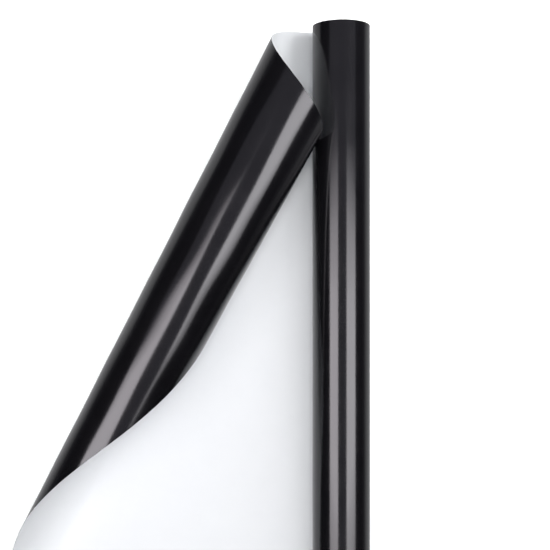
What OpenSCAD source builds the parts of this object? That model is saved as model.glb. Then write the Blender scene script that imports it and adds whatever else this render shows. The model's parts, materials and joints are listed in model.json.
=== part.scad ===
// A roll of sign vinyl lying on its side, with one length pulled off the roll and laid flat, and the
// loose corner of that length curled over. Millimetres, +Z up.
//
// The roll's axis is the Y axis and the origin is the middle of the core's bore. The roll rests on the
// plane z = -roll_d / 2. The vinyl leaves the underside of the roll towards -X, black face down.
// The web has three layers: face film, adhesive and release liner, and each is a node of its own
// wherever the web goes: in the wound turns, in the outermost turn, in the laid length, in the curl.

/* [Web] */
// Width of the web, which is the length of the roll
web_w = 304.8; // [250:0.1:315]
// Thickness of the face film
film_t = 0.07; // [0.05:0.01:0.09]
// Thickness of the adhesive
adhesive_t = 0.02; // [0.015:0.005:0.03]
// Thickness of the paper release liner
liner_t = 0.13; // [0.10:0.01:0.16]

/* [Roll] */
// Diameter over the outermost turn
roll_d = 30; // [28:0.5:32]
// Diameter of the core's bore
bore_d = 19.05; // [16:0.05:20]
// Thickness of each of the core's three plies
ply_t = 0.38; // [0.25:0.01:0.45]
// Thickness of the tape that holds the first turn to the core
tape_t = 0.08; // [0.05:0.01:0.12]
// Arc that the tape covers on the core, in degrees
tape_arc = 60; // [30:15:120]
// Air left between the parts that slide on each other
air = 0.03; // [0.02:0.01:0.05]
// Flat facets in one turn of the web
facets = 48; // [36:12:60]

/* [Laid length] */
// Length off the roll, from the line where it leaves the roll to its cut end
loose_l = 176.5; // [172:0.5:190]

/* [Curl] */
// Angle between the line where the curl starts and the roll's axis, in degrees
curl_a = 28.2; // [26:0.1:28.6]
// Gap between the start of the curl and the roll, at the far edge of the web
curl_gap = 0.5; // [0.5:0.1:3]
// Radius at which the curl starts, at the far edge of the web
curl_r = 28.6; // [27:0.1:32]
// Share of that radius lost in each full turn
curl_tighten = 0.37; // [0.3:0.01:0.42]
// Distance from the far edge to the apex where the straight lines of the curl's cone would meet
cone_l = 1500; // [1200:50:3000]
// Largest bend between two facets of the curl, in degrees
curl_step = 6; // [4:1:12]

/* [Hidden] */

// Heights of the web's layer boundaries, from its black face to its bare liner
FILM = [0, film_t];
ADHESIVE = [film_t, film_t + adhesive_t];
LINER = [film_t + adhesive_t, film_t + adhesive_t + liner_t];
web_t = LINER[1];

black = [0.05, 0.05, 0.06];
clear_grey = [0.75, 0.76, 0.78];
white = [0.93, 0.94, 0.96];
kraft = [0.66, 0.52, 0.37];
tape_cream = [0.89, 0.83, 0.66];

up = [0, 0, 1];
roll_r = roll_d / 2;
core_r = bore_d / 2 + 3 * ply_t;
step_a = 360 / facets;
// A faceted turn comes nearest to the axis in the middle of a facet
inset = cos(step_a / 2);
// Where the web leaves the roll, as an angle about the roll's axis
leave_a = 270;

// Outside radius of the wound turns: they turn freely inside the outermost turn
wound_r = (roll_r - 2 * web_t - air) * inset - air;
tape_r = core_r / inset + tape_t;
wound_steps = floor(((wound_r - tape_r - air) / web_t - 1) * facets);
wound_end_a = leave_a + wound_steps * step_a;

// The curl is part of a cone. On the flat web its straight lines all point at apex.
far_y = web_w / 2;
near_y = -web_w / 2;
fold_far = [-curl_gap, far_y];
fold_near = [-curl_gap - web_w * tan(curl_a), near_y];
along_fold = [sin(curl_a), cos(curl_a)];
across_fold = [-cos(curl_a), sin(curl_a)];
apex = fold_far - cone_l * along_fold;
// The last facet stops this far short of the web's corner
tip_cut = 0.5;

// Angle on the flat web, about apex, from the start of the curl to point p
function flat_angle(p) = atan2((p - apex) * across_fold, (p - apex) * along_fold);
// Angle on the flat web at which the curl has turned by a degrees, and the reverse
function flat_at_turn(a) = a * curl_r / cone_l * (1 - curl_tighten * a / 720);
function turn_at_flat(f) = 360 / curl_tighten * (1 - sqrt(1 - curl_tighten * f * cone_l / (180 * curl_r)));

near_corner_turn = turn_at_flat(flat_angle([-loose_l, near_y]));
far_corner_turn = turn_at_flat(flat_angle([-loose_l + tip_cut, far_y]));
near_facets = ceil(near_corner_turn / curl_step);
far_facets = ceil((far_corner_turn - near_corner_turn) / curl_step);
// How far the curl has turned at each of its straight lines. One of them meets the near corner.
line_turns = concat(
    [for (i = [0 : near_facets]) near_corner_turn * i / near_facets],
    [for (i = [1 : far_facets]) near_corner_turn + (far_corner_turn - near_corner_turn) * i / far_facets]
);
last_line = len(line_turns) - 1;

// Tilt of facet i, which lies between lines i and i + 1: the mean of how far both have turned
function tilt(i) = (line_turns[min(i, last_line)] + line_turns[min(i + 1, last_line)]) / 2;
function flat_step(i) = flat_at_turn(line_turns[min(i + 1, last_line)]) - flat_at_turn(line_turns[i]);

// A frame is [direction of the line, direction across it, normal of the facet after it, normal to
// stack the layers along at the line itself].
function bent(line, across, normal, bend) =
    let (next_normal = normal * cos(bend) - across * sin(bend))
    [line, across * cos(bend) + normal * sin(bend), next_normal, (normal + next_normal) / (1 + cos(bend))];
function next_frame(f, round, bend) =
    bent(f[0] * cos(round) + f[1] * sin(round), f[1] * cos(round) - f[0] * sin(round), f[2], bend);
frames = [
    for (
        i = 0, f = bent([along_fold.x, along_fold.y, 0], [across_fold.x, across_fold.y, 0], up, tilt(0));
        i <= last_line;
        f = next_frame(f, flat_step(i), tilt(i + 1) - tilt(i)), i = i + 1
    ) f
];

// Distances from apex to the two ends of the line at turn a: its near end is on the near edge or on
// the cut end, and its far end is on the far edge
function line_ends(a) =
    let (d = along_fold * cos(flat_at_turn(a)) + across_fold * sin(flat_at_turn(a)))
    [max((near_y - apex.y) / d.y, (-loose_l - apex.x) / d.x), (far_y - apex.y) / d.y];

// Point on line i of the curl at distance s from apex, h above the web's black face. The first line
// stacks its layers straight up, as the laid length does.
function curl_point(i, s, h) =
    [apex.x, apex.y, -roll_r] + s * frames[i][0] + h * (i == 0 ? up : frames[i][3]);

// Points of a spiral about the roll's axis, which starts at radius r and falls by fall in a turn
function spiral(r, fall, steps) = [
    for (i = [0 : steps]) (r - fall * i / facets) * [cos(leave_a + i * step_a), sin(leave_a + i * step_a)]
];
function reversed(list) = [for (i = [len(list) - 1 : -1 : 0]) list[i]];

// Extrudes a shape drawn in X and Z along the width of the web
module along_web() {
    rotate([90, 0, 0]) linear_extrude(web_w, center = true) children();
}

// One layer of a spiral length of web, whose black face starts at radius r
module spiral_layer(r, fall, steps, layer) {
    along_web() polygon(concat(
        spiral(r - layer[0], fall, steps),
        reversed(spiral(r - layer[1], fall, steps))
    ));
}

module wound_layer(layer) {
    spiral_layer(wound_r, web_t, wound_steps, layer);
}

module outer_turn_layer(layer) {
    spiral_layer(roll_r, web_t + air, facets, layer);
}

// One layer of the flat length between the roll and the start of the curl
module laid_layer(layer) {
    translate([0, 0, layer[0] - roll_r])
        linear_extrude(layer[1] - layer[0])
            polygon([[0, far_y], fold_far, fold_near, [0, near_y]]);
}

// One layer of the curl. Each line gives four points: near and far end below, then above.
module curl_layer(layer) {
    points = [
        for (i = [0 : last_line], h = layer, end = [0, 1]) curl_point(i, line_ends(line_turns[i])[end], h)
    ];
    // Corner pairs of each facet's four strips, walked round the layer's cross-section
    ring = [0, 1, 3, 2];
    sides = [
        for (i = [0 : last_line - 1], k = [0 : 3])
            let (a = 4 * i + ring[k], b = 4 * i + ring[(k + 1) % 4])
            each [[a, b, b + 4], [a, b + 4, a + 4]]
    ];
    polyhedron(points, concat(sides, [[0, 2, 3, 1]], [[for (k = ring) 4 * last_line + k]]));
}

// One ply of the core, counted from the bore
module core_ply(n) {
    inner_r = bore_d / 2 + n * ply_t;
    rotate([90, 0, 0]) difference() {
        cylinder(r = inner_r + ply_t, h = web_w, center = true, $fn = 96);
        cylinder(r = inner_r, h = web_w + 2, center = true, $fn = 96);
    }
}

module core_inner_ply() { color(kraft) core_ply(0); }
module core_middle_ply() { color(kraft) core_ply(1); }
module core_outer_ply() { color(kraft) core_ply(2); }

// Tape on the core, under the inner end of the web
module core_tape() {
    steps = tape_arc / step_a;
    arc = [for (i = [0 : steps]) let (a = wound_end_a - (i - steps / 2) * step_a) [cos(a), sin(a)]];
    color(tape_cream) along_web() polygon(concat(tape_r * arc, reversed(core_r / inset * arc)));
}

module wound_film() { color(black) wound_layer(FILM); }
module wound_adhesive() { color(clear_grey) wound_layer(ADHESIVE); }
module wound_liner() { color(white) wound_layer(LINER); }

module outer_turn_film() { color(black) outer_turn_layer(FILM); }
module outer_turn_adhesive() { color(clear_grey) outer_turn_layer(ADHESIVE); }
module outer_turn_liner() { color(white) outer_turn_layer(LINER); }

module laid_film() { color(black) laid_layer(FILM); }
module laid_adhesive() { color(clear_grey) laid_layer(ADHESIVE); }
module laid_liner() { color(white) laid_layer(LINER); }

module curl_film() { color(black) curl_layer(FILM); }
module curl_adhesive() { color(clear_grey) curl_layer(ADHESIVE); }
module curl_liner() { color(white) curl_layer(LINER); }

core_inner_ply();
core_middle_ply();
core_outer_ply();
core_tape();
wound_film();
wound_adhesive();
wound_liner();
outer_turn_film();
outer_turn_adhesive();
outer_turn_liner();
laid_film();
laid_adhesive();
laid_liner();
curl_film();
curl_adhesive();
curl_liner();
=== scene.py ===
"""Looks for the roll of sign vinyl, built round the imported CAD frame. Metres, in the CAD's own frame.

The roll's axis is the Y axis, the table is at z = -roll radius, and the vinyl runs off towards -X.
"""

import json
import math

import bmesh
import bpy
import numpy as np
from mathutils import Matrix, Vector


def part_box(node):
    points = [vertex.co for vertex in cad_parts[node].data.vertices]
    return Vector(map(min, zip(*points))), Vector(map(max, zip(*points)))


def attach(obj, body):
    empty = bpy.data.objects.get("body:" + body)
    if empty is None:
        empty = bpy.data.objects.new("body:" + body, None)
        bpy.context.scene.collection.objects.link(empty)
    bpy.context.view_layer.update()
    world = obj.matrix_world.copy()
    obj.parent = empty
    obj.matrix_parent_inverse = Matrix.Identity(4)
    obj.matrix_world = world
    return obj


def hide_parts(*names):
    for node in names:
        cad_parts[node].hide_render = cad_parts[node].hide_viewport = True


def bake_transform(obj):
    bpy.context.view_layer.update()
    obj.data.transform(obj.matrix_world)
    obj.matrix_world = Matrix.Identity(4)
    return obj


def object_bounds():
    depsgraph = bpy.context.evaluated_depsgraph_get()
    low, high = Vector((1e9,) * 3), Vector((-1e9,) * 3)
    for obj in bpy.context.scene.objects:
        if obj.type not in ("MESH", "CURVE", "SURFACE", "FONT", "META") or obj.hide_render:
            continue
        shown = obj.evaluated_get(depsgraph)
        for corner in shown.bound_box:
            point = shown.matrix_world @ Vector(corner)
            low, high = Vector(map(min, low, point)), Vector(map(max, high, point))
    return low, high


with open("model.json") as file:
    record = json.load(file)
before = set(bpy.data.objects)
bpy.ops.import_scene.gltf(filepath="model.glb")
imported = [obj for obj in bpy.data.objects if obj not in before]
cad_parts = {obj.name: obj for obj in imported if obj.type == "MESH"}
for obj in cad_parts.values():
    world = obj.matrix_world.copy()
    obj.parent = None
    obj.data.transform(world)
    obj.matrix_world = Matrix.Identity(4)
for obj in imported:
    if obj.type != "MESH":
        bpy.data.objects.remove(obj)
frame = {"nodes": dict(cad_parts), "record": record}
cad_low, cad_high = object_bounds()

MM = 0.001

# Sizes that the frame holds
OUTER_LOW, OUTER_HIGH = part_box("outer_turn_film")
TABLE_Z = OUTER_LOW.z
ROLL_R = -TABLE_Z
FAR_Y = OUTER_HIGH.y
NEAR_Y = OUTER_LOW.y
MOUNTS = {mount["name"]: mount for mount in frame["record"]["mounts"]}
BORE_R = MOUNTS["core_bore"]["dims"]["r_mm"] * MM

# The web's layers, as heights above its black face
FILM_T = 0.07 * MM
ADHESIVE_T = 0.02 * MM
LINER_T = 0.13 * MM
FILM = (0.0, FILM_T)
ADHESIVE = (FILM_T, FILM_T + ADHESIVE_T)
LINER = (FILM_T + ADHESIVE_T, FILM_T + ADHESIVE_T + LINER_T)
WEB_T = LINER[1]
# Air left inside the outermost turn, and twice as much between the tape and the web wound over it
AIR = 0.03 * MM

# The core of three plies, and the tape on it
PLY_T = 0.38 * MM
CORE_R = BORE_R + 3 * PLY_T
TAPE_T = 0.08 * MM

# The web off the roll: its length, and the strip beside the roll that lengthens as the roll moves away
LOOSE_L = 176.5 * MM
STRIP_W = 0.4 * MM
LAID_STEPS = 12
LOOSE_ROWS = 65

# The curl, which is part of a cone whose straight lines all point at one apex on the flat web
CURL_A = math.radians(28.2)
CURL_GAP = 0.5 * MM
CURL_R = 28.6 * MM
CURL_TIGHTEN = 0.37
CONE_L = 1.5
CURL_STEP = math.radians(1.5)
TIP_CUT = 0.5 * MM
RIPPLE_H = 0.06 * MM
SHORT_WAVE = 7.5 * MM
LONG_WAVE = 13 * MM

# The wound web: facets in each turn, and rows along the outermost turn
TURN_SEGMENTS = 120
OUTER_ROWS = 25

# The core's plies: facets round each, the groove where a ply's edges meet, and the rounding of its rims
PLY_SEGMENTS = 128
SEAM_PITCH = 52 * MM
SEAM_W = 0.6 * MM
SEAM_DEPTH = 0.2 * MM
RIM = 0.06 * MM


# ---------------------------------------------------------------- mesh helpers

def link(name, data):
    """Puts an object that holds data in the scene."""
    obj = bpy.data.objects.new(name, data)
    bpy.context.scene.collection.objects.link(obj)
    return obj


def make_object(name, vertices, faces, smooth=True):
    """An object with a mesh of its own, in the scene."""
    mesh = bpy.data.meshes.new(name)
    mesh.from_pydata([tuple(v) for v in vertices], [], faces)
    mesh.validate()
    mesh.update()
    if smooth:
        mesh.shade_smooth()
    return link(name, mesh)


def sharpen(obj, angle_deg=40.0):
    """Keeps the edges that turn by more than angle_deg sharp, so that thin layers don't shade round."""
    obj.data.set_sharp_from_angle(angle=math.radians(angle_deg))


def slab(name, low, high):
    """A closed thin solid between two grids of points of the same shape, [column, row, xyz]."""
    columns, rows = low.shape[:2]
    count = columns * rows

    def at(i, j, side):
        return side * count + i * rows + j

    faces = []
    for i in range(columns - 1):
        for j in range(rows - 1):
            faces.append((at(i, j, 0), at(i, j + 1, 0), at(i + 1, j + 1, 0), at(i + 1, j, 0)))
            faces.append((at(i, j, 1), at(i + 1, j, 1), at(i + 1, j + 1, 1), at(i, j + 1, 1)))
    rim = [(i, 0) for i in range(columns)]
    rim += [(columns - 1, j) for j in range(1, rows)]
    rim += [(i, rows - 1) for i in range(columns - 2, -1, -1)]
    rim += [(0, j) for j in range(rows - 2, 0, -1)]
    for a, b in zip(rim, rim[1:] + rim[:1]):
        faces.append((at(*a, 0), at(*b, 0), at(*b, 1), at(*a, 1)))
    obj = make_object(name, np.concatenate([low.reshape(-1, 3), high.reshape(-1, 3)]), faces)
    sharpen(obj)
    return obj


# ---------------------------------------------------------------- the web off the roll

def unit(angle, start, across):
    """The unit vector start, turned by angle towards across."""
    return start * math.cos(angle) + across * math.sin(angle)


def flat_at_turn(turn):
    """Angle about the apex, on the flat web, at which the curl has turned by turn."""
    return turn * CURL_R / CONE_L * (1 - CURL_TIGHTEN * turn / (4 * math.pi))


def turn_at_flat(flat):
    """The other way round: how far the curl has turned at a flat angle."""
    share = 1 - math.sqrt(1 - CURL_TIGHTEN * flat * CONE_L / (math.pi * CURL_R))
    return 2 * math.pi / CURL_TIGHTEN * share


def curl_columns():
    """The curl's straight lines from the fold to the web's corner, as (near end, far end, normal, turn)."""
    along = np.array([math.sin(CURL_A), math.cos(CURL_A)])
    across = np.array([-math.cos(CURL_A), math.sin(CURL_A)])
    apex = np.array([-CURL_GAP, FAR_Y]) - CONE_L * along

    def flat_angle(point):
        return math.atan2((point - apex) @ across, (point - apex) @ along)

    corner_turns = [
        turn_at_flat(flat_angle(np.array([-LOOSE_L, NEAR_Y]))),
        turn_at_flat(flat_angle(np.array([-LOOSE_L + TIP_CUT, FAR_Y]))),
    ]
    turns = [0.0]
    for corner in corner_turns:
        steps = math.ceil((corner - turns[-1]) / CURL_STEP)
        turns += list(np.linspace(turns[-1], corner, steps + 1)[1:])

    line = np.array([along[0], along[1], 0.0])
    side = np.array([across[0], across[1], 0.0])
    normal = np.array([0.0, 0.0, 1.0])
    origin = np.array([apex[0], apex[1], TABLE_Z])
    columns = []
    for i, turn in enumerate(turns):
        if i > 0:
            # Half of the bend comes before the step round the cone and half after it, as on a facet
            half_bend = (turn - turns[i - 1]) / 2
            side, normal = unit(half_bend, side, normal), unit(half_bend, normal, -side)
            step = flat_at_turn(turn) - flat_at_turn(turns[i - 1])
            line, side = unit(step, line, side), unit(step, side, -line)
            side, normal = unit(half_bend, side, normal), unit(half_bend, normal, -side)
        flat = unit(flat_at_turn(turn), along, across)
        near = max((NEAR_Y - apex[1]) / flat[1], (-LOOSE_L - apex[0]) / flat[0])
        far = (FAR_Y - apex[1]) / flat[1]
        columns.append((origin + near * line, origin + far * line, normal, turn))
    return columns


def loose_columns():
    """Every column of the web off the roll, from the web's corner to the line where it meets the roll."""
    columns = curl_columns()[::-1]
    up = np.array([0.0, 0.0, 1.0])
    near, far = columns[-1][:2]
    strip_near = np.array([-STRIP_W, NEAR_Y, TABLE_Z])
    strip_far = np.array([-STRIP_W, FAR_Y, TABLE_Z])
    for share in np.linspace(0, 1, LAID_STEPS + 1)[1:]:
        columns.append((near + share * (strip_near - near), far + share * (strip_far - far), up, 0.0))
    shift = np.array([STRIP_W, 0.0, 0.0])
    columns.append((strip_near + shift, strip_far + shift, up, 0.0))
    return columns


def ripple(turn, from_far_edge):
    """How far the sprung curl stands off a true cone. It fades to nothing where the web lies down."""
    risen = min(1.0, turn / math.radians(90)) ** 2
    short_waves = np.sin(from_far_edge / SHORT_WAVE + 3 * turn)
    long_waves = np.sin(from_far_edge / LONG_WAVE - 5 * turn)
    return RIPPLE_H * risen * (short_waves + 0.6 * long_waves)


def loose_layer(name, layer, columns):
    """One layer of the web off the roll, between its two heights above the web's black face."""
    shares = np.linspace(0, 1, LOOSE_ROWS)[:, None]

    def grid(height):
        lines = []
        for near, far, normal, turn in columns:
            from_far_edge = (1 - shares) * np.linalg.norm(far - near)
            lines.append(near + shares * (far - near) + (height + ripple(turn, from_far_edge)) * normal)
        return np.array(lines)

    return slab(name, grid(layer[0]), grid(layer[1]))


# ---------------------------------------------------------------- the wound web

def spiral_layer(name, start_r, fall, turns, layer, end_shift=None, rows=2):
    """One layer of a length of web wound inwards from start_r, which starts at the bottom of the roll."""
    steps = np.arange(int(round(turns * TURN_SEGMENTS)) + 1)
    angles = -math.pi / 2 + 2 * math.pi * steps / TURN_SEGMENTS
    radii = start_r - fall * steps / TURN_SEGMENTS
    shift = np.zeros(len(steps)) if end_shift is None else end_shift(angles)
    y = np.linspace(NEAR_Y, FAR_Y, rows)

    def grid(height):
        r = radii - height
        points = np.zeros((len(steps), rows, 3))
        points[:, :, 0] = (r * np.cos(angles))[:, None]
        points[:, :, 1] = y[None, :] + shift[:, None]
        points[:, :, 2] = (r * np.sin(angles))[:, None]
        return points

    return slab(name, grid(layer[0]), grid(layer[1]))


# ---------------------------------------------------------------- core

# Where a groove's edges and floor lie across its width, and how deep it is there
SEAM_ACROSS = (0.0, 0.2, 0.8, 1.0)
SEAM_DEPTHS = (0.0, SEAM_DEPTH, SEAM_DEPTH, 0.0)


def ply_rim(face_r, outer_r, end_y, inward):
    """The rounded rim of one end, from the inner face to the outer one. inward points into the tube."""
    ease = 0.3 * RIM
    return [
        (face_r, end_y + inward * RIM),
        (face_r + ease, end_y + inward * ease),
        (face_r + RIM, end_y),
        (outer_r - RIM, end_y),
        (outer_r - ease, end_y + inward * ease),
        (outer_r, end_y + inward * RIM),
    ]


def ply_tube(name, inner_r, outer_r, seam_turn):
    """One ply, a strip of board wound in a helix whose edges meet in a shallow groove on its inner face."""
    low_y = NEAR_Y + RIM
    high_y = FAR_Y - RIM
    first_seam = NEAR_Y - (1 + seam_turn) * SEAM_PITCH
    windings = math.ceil((FAR_Y - first_seam) / SEAM_PITCH) + 1
    seams = [first_seam + k * SEAM_PITCH for k in range(windings)]
    seam_rows = [seam + share * SEAM_W for seam in seams for share in SEAM_ACROSS]

    def face_r(angle, y):
        from_seam = (y - SEAM_PITCH * angle / (2 * math.pi) - first_seam) % SEAM_PITCH
        return inner_r + np.interp(from_seam / SEAM_W, SEAM_ACROSS, SEAM_DEPTHS)

    def column(share):
        """One line of points round the wall: along its inner face, and back over the outer one."""
        angle = 2 * math.pi * share
        face_y = [min(max(row + SEAM_PITCH * share, low_y), high_y) for row in seam_rows]
        face = [(face_r(angle, y), y) for y in face_y]
        far_rim = ply_rim(face_r(angle, high_y), outer_r, FAR_Y, -1)
        near_rim = ply_rim(face_r(angle, low_y), outer_r, NEAR_Y, 1)
        outline = face + far_rim + near_rim[::-1]
        return [(r * math.cos(angle), y, r * math.sin(angle)) for r, y in outline]

    columns = [column(i / PLY_SEGMENTS) for i in range(PLY_SEGMENTS)]
    vertices = [point for line in columns for point in line]
    rows = len(columns[0])
    face_rows = len(seam_rows)
    faces = []
    for i in range(PLY_SEGMENTS):
        here = i * rows
        beside = (i + 1) % PLY_SEGMENTS * rows
        # Past the last column the helix has moved on by one whole winding
        slip = len(SEAM_ACROSS) if i == PLY_SEGMENTS - 1 else 0
        for j in range(face_rows - 1 - slip):
            faces.append((here + j, here + j + 1, beside + j + 1 + slip, beside + j + slip))
        for j in range(face_rows, rows - 1):
            faces.append((here + j, here + j + 1, beside + j + 1, beside + j))

    obj = make_object(name, vertices, faces)
    clean_up(obj)
    sharpen(obj, 50.0)
    return obj


def clean_up(obj):
    """Joins the rows that meet at a tube's ends, which closes its mesh, and turns every face outwards."""
    close = 0.001 * MM
    mesh = bmesh.new()
    mesh.from_mesh(obj.data)
    bmesh.ops.remove_doubles(mesh, verts=mesh.verts, dist=close)
    bmesh.ops.dissolve_degenerate(mesh, edges=mesh.edges, dist=close)
    bmesh.ops.recalc_face_normals(mesh, faces=mesh.faces)
    mesh.to_mesh(obj.data)
    mesh.free()


# ---------------------------------------------------------------- material helpers

# A mix node's sockets for colour, by place, because its sockets of other kinds have the same names
MIX_FACTOR = 0
MIX_FIRST = 6
MIX_SECOND = 7
MIX_RESULT = 2


def new_material(name, shader_type="ShaderNodeBsdfPrincipled"):
    material = bpy.data.materials.new(name)
    material.use_nodes = True
    nodes = material.node_tree.nodes
    nodes.clear()
    output = nodes.new("ShaderNodeOutputMaterial")
    shader = nodes.new(shader_type)
    material.node_tree.links.new(shader.outputs[0], output.inputs["Surface"])
    return material, shader


def object_place(material):
    """Where a point lies in its object's own metres."""
    return material.node_tree.nodes.new("ShaderNodeTexCoord").outputs["Object"]


def add_noise(material, scale, detail=2.0, roughness=0.5, stretch=(1, 1, 1)):
    """The value of a noise that is laid out in the object's own metres."""
    nodes = material.node_tree.nodes
    links = material.node_tree.links
    mapping = nodes.new("ShaderNodeMapping")
    mapping.inputs["Scale"].default_value = stretch
    noise = nodes.new("ShaderNodeTexNoise")
    noise.inputs["Scale"].default_value = scale
    noise.inputs["Detail"].default_value = detail
    noise.inputs["Roughness"].default_value = roughness
    links.new(object_place(material), mapping.inputs["Vector"])
    links.new(mapping.outputs["Vector"], noise.inputs["Vector"])
    return noise.outputs["Fac"]


def add_ramp(material, value, low, high, from_low=0.3, from_high=0.7):
    """Goes evenly from low to high as value goes from from_low to from_high, and stays level past them."""
    node = material.node_tree.nodes.new("ShaderNodeMapRange")
    node.inputs["From Min"].default_value = from_low
    node.inputs["From Max"].default_value = from_high
    node.inputs["To Min"].default_value = low
    node.inputs["To Max"].default_value = high
    material.node_tree.links.new(value, node.inputs["Value"])
    return node.outputs["Result"]


def add_colours(material, value, first, second):
    """Goes from the first colour, which may be a node's output, to the second as value goes from 0 to 1."""
    links = material.node_tree.links
    node = material.node_tree.nodes.new("ShaderNodeMix")
    node.data_type = "RGBA"
    if isinstance(first, bpy.types.NodeSocket):
        links.new(first, node.inputs[MIX_FIRST])
    else:
        node.inputs[MIX_FIRST].default_value = (*first, 1)
    node.inputs[MIX_SECOND].default_value = (*second, 1)
    links.new(value, node.inputs[MIX_FACTOR])
    return node.outputs[MIX_RESULT]


def add_bump(material, value, distance, under=None):
    """Relief as deep as distance, on top of the relief that under carries."""
    links = material.node_tree.links
    node = material.node_tree.nodes.new("ShaderNodeBump")
    node.inputs["Distance"].default_value = distance
    node.inputs["Strength"].default_value = 1.0
    links.new(value, node.inputs["Height"])
    if under is not None:
        links.new(under, node.inputs["Normal"])
    return node.outputs["Normal"]


def add_length(material, vector):
    """The length of a vector."""
    node = material.node_tree.nodes.new("ShaderNodeVectorMath")
    node.operation = "LENGTH"
    material.node_tree.links.new(vector, node.inputs[0])
    return node.outputs["Value"]


# ---------------------------------------------------------------- the object's materials

# Each is a darker and a paler colour that a material wanders between
FILM_BLACKS = ((0.0041, 0.0039, 0.0050), (0.0064, 0.0061, 0.0075))
LINER_WHITES = ((0.755, 0.77, 0.795), (0.785, 0.80, 0.825))
ADHESIVE_GREYS = ((0.45, 0.46, 0.48), (0.58, 0.59, 0.61))
BOARD_BROWNS = ((0.33, 0.235, 0.145), (0.47, 0.35, 0.225))
MIDDLE_BOARD_BROWNS = ((0.26, 0.18, 0.11), (0.37, 0.27, 0.17))
TAPE_BUFFS = ((0.70, 0.62, 0.42), (0.80, 0.73, 0.54))
DARK_FIBRE = (0.16, 0.105, 0.06)
PALE_FLECK = (0.66, 0.55, 0.41)


def film_material():
    """Near-black gloss vinyl: faint orange peel and a slightly uneven shine."""
    material, shader = new_material("vinyl_film")
    links = material.node_tree.links
    cloud = add_noise(material, scale=60, detail=3)
    peel = add_noise(material, scale=900, detail=2)
    links.new(add_colours(material, cloud, *FILM_BLACKS), shader.inputs["Base Color"])
    links.new(add_ramp(material, cloud, low=0.13, high=0.17), shader.inputs["Roughness"])
    links.new(add_bump(material, peel, distance=0.008 * MM), shader.inputs["Normal"])
    shader.inputs["IOR"].default_value = 1.54
    return material


def liner_material():
    """Smooth white siliconised paper."""
    material, shader = new_material("release_liner")
    links = material.node_tree.links
    cloud = add_noise(material, scale=90, detail=4, roughness=0.6)
    fibre = add_noise(material, scale=2500, detail=3, stretch=(1, 0.35, 1))
    links.new(add_colours(material, cloud, *LINER_WHITES), shader.inputs["Base Color"])
    links.new(add_ramp(material, cloud, low=0.42, high=0.5), shader.inputs["Roughness"])
    links.new(add_bump(material, fibre, distance=0.006 * MM), shader.inputs["Normal"])
    shader.inputs["IOR"].default_value = 1.45
    return material


def adhesive_material():
    """A thin grey glue, which shows only as a line at the web's edges."""
    material, shader = new_material("adhesive")
    links = material.node_tree.links
    cloud = add_noise(material, scale=900, detail=2)
    links.new(add_colours(material, cloud, *ADHESIVE_GREYS), shader.inputs["Base Color"])
    shader.inputs["Roughness"].default_value = 0.35
    return material


def board_material(name, dark, pale):
    """Grey-brown chipboard: mottled pulp with dark and pale fibres lying along the roll."""
    material, shader = new_material(name)
    links = material.node_tree.links
    cloud = add_noise(material, scale=320, detail=5, roughness=0.65)
    fibre = add_noise(material, scale=2600, detail=3, stretch=(1, 0.18, 1))
    fleck = add_noise(material, scale=1500, detail=2, stretch=(1, 0.3, 1))
    pulp = add_colours(material, cloud, dark, pale)
    dark_fibres = add_ramp(material, fibre, low=0.55, high=0.0, from_low=0.34, from_high=0.46)
    pulp = add_colours(material, dark_fibres, pulp, DARK_FIBRE)
    pale_flecks = add_ramp(material, fleck, low=0.0, high=0.6, from_low=0.60, from_high=0.68)
    links.new(add_colours(material, pale_flecks, pulp, PALE_FLECK), shader.inputs["Base Color"])
    links.new(add_ramp(material, cloud, low=0.78, high=0.92), shader.inputs["Roughness"])
    rough = add_bump(material, cloud, distance=0.05 * MM)
    links.new(add_bump(material, fibre, distance=0.05 * MM, under=rough), shader.inputs["Normal"])
    return material


def tape_material():
    """Creped paper tape."""
    material, shader = new_material("core_tape")
    links = material.node_tree.links
    crepe = add_noise(material, scale=1200, detail=2, stretch=(1, 4, 1))
    links.new(add_colours(material, crepe, *TAPE_BUFFS), shader.inputs["Base Color"])
    shader.inputs["Roughness"].default_value = 0.7
    links.new(add_bump(material, crepe, distance=0.02 * MM), shader.inputs["Normal"])
    return material


MATERIALS = {
    "vinyl_film": film_material(),
    "adhesive": adhesive_material(),
    "release_liner": liner_material(),
    "core_board": board_material("core_board", *BOARD_BROWNS),
    "core_tape": tape_material(),
}
# The middle ply is a darker board than the two beside it
MIDDLE_BOARD = board_material("core_board_middle", *MIDDLE_BOARD_BROWNS)


def dress(obj, slot, *nodes, material=None):
    """Gives a piece its slot's material, or another one, and the CAD nodes that it stands for."""
    obj.data.materials.clear()
    obj.data.materials.append(material or MATERIALS[slot])
    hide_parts(*nodes)


# ---------------------------------------------------------------- the pieces

# Each layer's heights and slot, in the order in which they lie on the table
LAYERS = {
    "film": (FILM, "vinyl_film"),
    "adhesive": (ADHESIVE, "adhesive"),
    "liner": (LINER, "release_liner"),
}
# How far the outermost turn winds inwards, so that its end passes inside its start with air between them
OUTER_FALL = WEB_T + AIR
WOUND_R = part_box("wound_film")[1].x
INNER_END_R = CORE_R + TAPE_T + 2 * AIR + WEB_T
WOUND_TURNS = (WOUND_R - INNER_END_R) / WEB_T


def wander(angles):
    """How far each turn of the web lies off line along the roll."""
    turn = angles / (2 * math.pi)
    return 0.10 * MM * np.sin(2.3 * turn) + 0.05 * MM * np.sin(7.1 * turn + 1.0)


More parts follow.
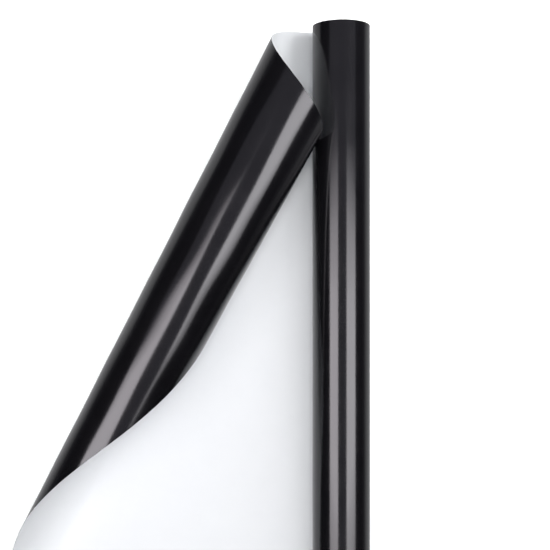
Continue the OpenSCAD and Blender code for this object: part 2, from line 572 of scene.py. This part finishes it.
columns = loose_columns()
for layer_name, (layer, slot) in LAYERS.items():
    loose = loose_layer(f"loose_{layer_name}", layer, columns)
    dress(loose, slot, f"laid_{layer_name}", f"curl_{layer_name}")
    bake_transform(loose)

    outer = spiral_layer(f"outer_turn_{layer_name}_smooth", ROLL_R, OUTER_FALL, 1, layer, rows=OUTER_ROWS)
    dress(outer, slot, f"outer_turn_{layer_name}")
    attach(outer, "takeoff")

    wound = spiral_layer(f"wound_{layer_name}_smooth", WOUND_R, WEB_T, WOUND_TURNS, layer, wander)
    dress(wound, slot, f"wound_{layer_name}")
    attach(wound, "roll")

for number, ply in enumerate(("inner", "middle", "outer")):
    inner_r = BORE_R + number * PLY_T
    tube = ply_tube(f"core_{ply}_ply_smooth", inner_r, inner_r + PLY_T, number / 3)
    dress(tube, "core_board", f"core_{ply}_ply", material=MIDDLE_BOARD if ply == "middle" else None)
    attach(tube, "roll")

tape = frame["nodes"]["core_tape"]
tape.data.materials.clear()
tape.data.materials.append(MATERIALS["core_tape"])


# ---------------------------------------------------------------- stage, light and camera

# The table: its half width and colours, and its own glow near the object and far off, where the lights don't
# reach. The glow changes from one to the other between two distances from the middle.
TABLE_HALF = 6.0
TABLE_WHITES = ((0.93, 0.93, 0.935), (0.95, 0.95, 0.955))
TABLE_GLOW = (0.35, 0.95)
GLOW_FROM = 0.35
GLOW_TO = 1.3

# What gloss reflects of the table: a card whose colour fades over a distance from the object
CARD_HALF = 1.5
CARD_COLOURS = ((0.70, 0.70, 0.72), (0.07, 0.07, 0.08))
CARD_FADE = 0.13

# The dome behind, which pales towards its foot
DOME_R = 1.9
DOME_TOP = math.radians(88)
DOME_RINGS = 12
DOME_SEGMENTS = 48
DOME_COLOURS = ((0.96, 0.96, 0.965), (0.84, 0.84, 0.85))
DOME_FADE = 0.5

# The two long strip lights over the table. Each is three sheets one above the other, whose ends along the
# roll lie at different places, so that it fades at its ends: (share of the light, near end, far end).
STRIP_LIGHT_RADIANCE = 5.4
STRIP_LIGHT_HEIGHT = 0.9
SHEET_STEP = 0.01
STRIP_LIGHT_SHEETS = ((0.35, -0.60, 0.19), (0.35, -0.47, 0.12), (0.3, -0.34, 0.03))
# Each one's two edges across the roll, and its colour
STRIP_LIGHTS = {
    "strip_left": (-1.02, -0.25, (0.98, 0.93, 0.98)),
    "strip_right": (0.285, 1.25, (0.98, 0.96, 1.0)),
}

# The dim ceiling above them, between two corners
CEILING_LOW = (-1.2, -0.7)
CEILING_HIGH = (1.4, 0.8)
CEILING_HEIGHT = 1.0
CEILING_RADIANCE = 0.25
CEILING_COLOUR = (0.88, 0.86, 1.0)

# The upright cards beyond the roll's ends
END_CARD_Y = 1.6
END_CARD_W = 1.2
END_CARD_H = 0.9
END_CARD_LIFT = 0.15
END_CARD_RADIANCE = 1.2

# The soft lights for what is matt: name, azimuth and elevation in degrees, size and watts
KEYS = (
    ("key_top", 0, 90, 0.35, 6.0),
    ("key_right_far_high", 45, 60, 0.6, 3.5),
    ("key_right_high", 0, 60, 0.6, 1.0),
    ("key_right_low", 0, 30, 0.6, 3.0),
    ("key_right_far_low", 45, 30, 0.6, 1.0),
    ("key_near_high", 270, 60, 0.6, 2.5),
    ("key_left_high", 180, 60, 0.6, 4.0),
    ("key_left_far_low", 135, 30, 0.6, 1.0),
    ("key_left_low", 180, 30, 0.6, 1.0),
)
KEY_REACH = 1.3
# A small one close by, which lights the inside of the curl through its open far end
MOUTH_KEY = ("key_curl_mouth", 15, 40, 0.06, 0.2)
MOUTH_PLACE = Vector((-3.5 * ROLL_R, FAR_Y - ROLL_R, 0))
MOUTH_REACH = 0.2

# The faint light from all round
WORLD_COLOUR = (0.98, 0.99, 1.0, 1)
WORLD_STRENGTH = 0.05

# Watts for each square metre of an area light that shows with a radiance of 1
WATTS_AT_ONE = 4


def square(name, half, height):
    """A flat square sheet round the origin, at a height."""
    corners = [(-half, -half, height), (half, -half, height), (half, half, height), (-half, half, height)]
    return make_object(name, corners, [(0, 1, 2, 3)], smooth=False)


def make_floor():
    """A plain pale table, bright enough to read as white, which gloss doesn't reflect."""
    floor = square("floor", TABLE_HALF, TABLE_Z)
    material, shader = new_material("floor")
    links = material.node_tree.links
    cloud = add_noise(material, scale=3, detail=2)
    links.new(add_colours(material, cloud, *TABLE_WHITES), shader.inputs["Base Color"])
    shader.inputs["Roughness"].default_value = 0.9
    shader.inputs["Specular IOR Level"].default_value = 0.2
    from_middle = add_length(material, object_place(material))
    glow = add_ramp(material, from_middle, *TABLE_GLOW, from_low=GLOW_FROM, from_high=GLOW_TO)
    shader.inputs["Emission Color"].default_value = (1, 1, 1, 1)
    links.new(glow, shader.inputs["Emission Strength"])
    floor.data.materials.append(material)
    floor.visible_glossy = False


def make_floor_reflection():
    """What gloss reflects of the table: bright beside the object, and dim further off."""
    middle = (cad_low + cad_high) / 2
    half = (cad_high - cad_low) / 2
    card = square("floor_reflection", CARD_HALF, 0)
    card.location = (middle.x, middle.y, TABLE_Z)
    material, glow = new_material("floor_reflection", "ShaderNodeEmission")
    links = material.node_tree.links
    # How far a point lies outside the object's box, on each axis
    outside = object_place(material)
    for operation, other in (("ABSOLUTE", None), ("SUBTRACT", (half.x, half.y, 0)), ("MAXIMUM", (0, 0, 0))):
        step = material.node_tree.nodes.new("ShaderNodeVectorMath")
        step.operation = operation
        links.new(outside, step.inputs[0])
        if other is not None:
            step.inputs[1].default_value = other
        outside = step.outputs["Vector"]
    distance = add_length(material, outside)
    fade = add_ramp(material, distance, low=0.0, high=1.0, from_low=0.0, from_high=CARD_FADE)
    links.new(add_colours(material, fade, *CARD_COLOURS), glow.inputs["Color"])
    card.data.materials.append(material)
    card.visible_camera = False
    card.visible_diffuse = False
    card.visible_shadow = False


def make_backdrop():
    """A pale dome round the table, which only the camera sees."""
    vertices = []
    for i in range(DOME_RINGS):
        lift = DOME_TOP * i / (DOME_RINGS - 1)
        for j in range(DOME_SEGMENTS):
            turn = 2 * math.pi * j / DOME_SEGMENTS
            vertices.append((
                DOME_R * math.cos(lift) * math.cos(turn),
                DOME_R * math.cos(lift) * math.sin(turn),
                TABLE_Z + DOME_R * math.sin(lift),
            ))
    faces = []
    for i in range(DOME_RINGS - 1):
        for j in range(DOME_SEGMENTS):
            low_row = i * DOME_SEGMENTS
            high_row = low_row + DOME_SEGMENTS
            beside = (j + 1) % DOME_SEGMENTS
            faces.append((low_row + j, low_row + beside, high_row + beside, high_row + j))
    dome = make_object("backdrop", vertices, faces)
    material, glow = new_material("backdrop", "ShaderNodeEmission")
    links = material.node_tree.links
    split = material.node_tree.nodes.new("ShaderNodeSeparateXYZ")
    links.new(object_place(material), split.inputs["Vector"])
    height = add_ramp(material, split.outputs["Z"], low=0.0, high=1.0, from_low=0.0, from_high=DOME_FADE)
    links.new(add_colours(material, height, *DOME_COLOURS), glow.inputs["Color"])
    dome.data.materials.append(material)
    dome.visible_diffuse = False
    dome.visible_glossy = False
    dome.visible_shadow = False


def area_light(name, width, depth, watts, place):
    """A soft rectangular light at place, facing down, which the camera doesn't see."""
    light = bpy.data.lights.new(name, "AREA")
    light.shape = "RECTANGLE"
    light.size = width
    light.size_y = depth
    light.energy = watts
    obj = link(name, light)
    obj.location = place
    obj.visible_camera = False
    return obj


def gloss_panel(name, width, depth, radiance, place, colour=(1, 1, 1)):
    """An area light that shows in gloss and lights nothing matt."""
    obj = area_light(name, width, depth, radiance * WATTS_AT_ONE * width * depth, place)
    obj.data.color = colour
    obj.visible_diffuse = False
    return obj


def ceiling_panel(name, low, high, height, radiance, colour):
    """A panel over the table, from the corner low to the corner high."""
    place = ((low[0] + high[0]) / 2, (low[1] + high[1]) / 2, TABLE_Z + height)
    gloss_panel(name, high[0] - low[0], high[1] - low[1], radiance, place, colour)


def end_card(name, y):
    """An upright panel beyond one end of the roll, which faces it and shows only from the side."""
    place = (0, y, TABLE_Z + END_CARD_LIFT + END_CARD_H / 2)
    card = gloss_panel(name, END_CARD_W, END_CARD_H, END_CARD_RADIANCE, place)
    card.rotation_euler = (math.copysign(math.pi / 2, -y), 0, 0)


def matt_key(name, azimuth, elevation, size, watts, target, reach):
    """A soft square light that faces target from a direction and leaves no reflection in gloss."""
    turn = math.radians(azimuth)
    lift = math.radians(elevation)
    toward = Vector((math.cos(lift) * math.cos(turn), math.cos(lift) * math.sin(turn), math.sin(lift)))
    obj = area_light(name, size, size, watts, target + reach * toward)
    obj.rotation_euler = toward.to_track_quat("Z", "Y").to_euler()
    obj.visible_glossy = False


def make_lights():
    """The strip lights, the ceiling, the end cards and the keys."""
    for sheet, (share, near_y, far_y) in enumerate(STRIP_LIGHT_SHEETS):
        height = STRIP_LIGHT_HEIGHT + SHEET_STEP * sheet
        radiance = STRIP_LIGHT_RADIANCE * share
        for name, (left, right, colour) in STRIP_LIGHTS.items():
            ceiling_panel(f"{name}_{sheet}", (left, near_y), (right, far_y), height, radiance, colour)
    ceiling_panel(
        "ceiling_glow", CEILING_LOW, CEILING_HIGH, CEILING_HEIGHT, CEILING_RADIANCE, CEILING_COLOUR)
    end_card("card_far", END_CARD_Y)
    end_card("card_near", -END_CARD_Y)
    middle = Vector(((cad_low.x + cad_high.x) / 2, 0, TABLE_Z))
    for key in KEYS:
        matt_key(*key, middle, KEY_REACH)
    matt_key(*MOUTH_KEY, MOUTH_PLACE, MOUTH_REACH)


def make_world():
    world = bpy.data.worlds.new("studio")
    world.use_nodes = True
    background = world.node_tree.nodes["Background"]
    background.inputs["Color"].default_value = WORLD_COLOUR
    background.inputs["Strength"].default_value = WORLD_STRENGTH
    world.cycles_visibility.glossy = False
    bpy.context.scene.world = world
    bpy.context.scene.view_settings.view_transform = "Standard"


# Looks straight down from a little to the left of the roll
CAMERA_PLACE = (-34.2 * MM, 23.75 * MM, 512 * MM)
CAMERA_LENS = 64.7


def make_camera():
    camera_data = bpy.data.cameras.new("camera")
    camera_data.lens = CAMERA_LENS
    camera_data.clip_start = 0.01
    camera = link("camera", camera_data)
    camera.location = CAMERA_PLACE
    bpy.context.scene.camera = camera


make_floor()
make_floor_reflection()
make_backdrop()
make_lights()
make_world()
make_camera()
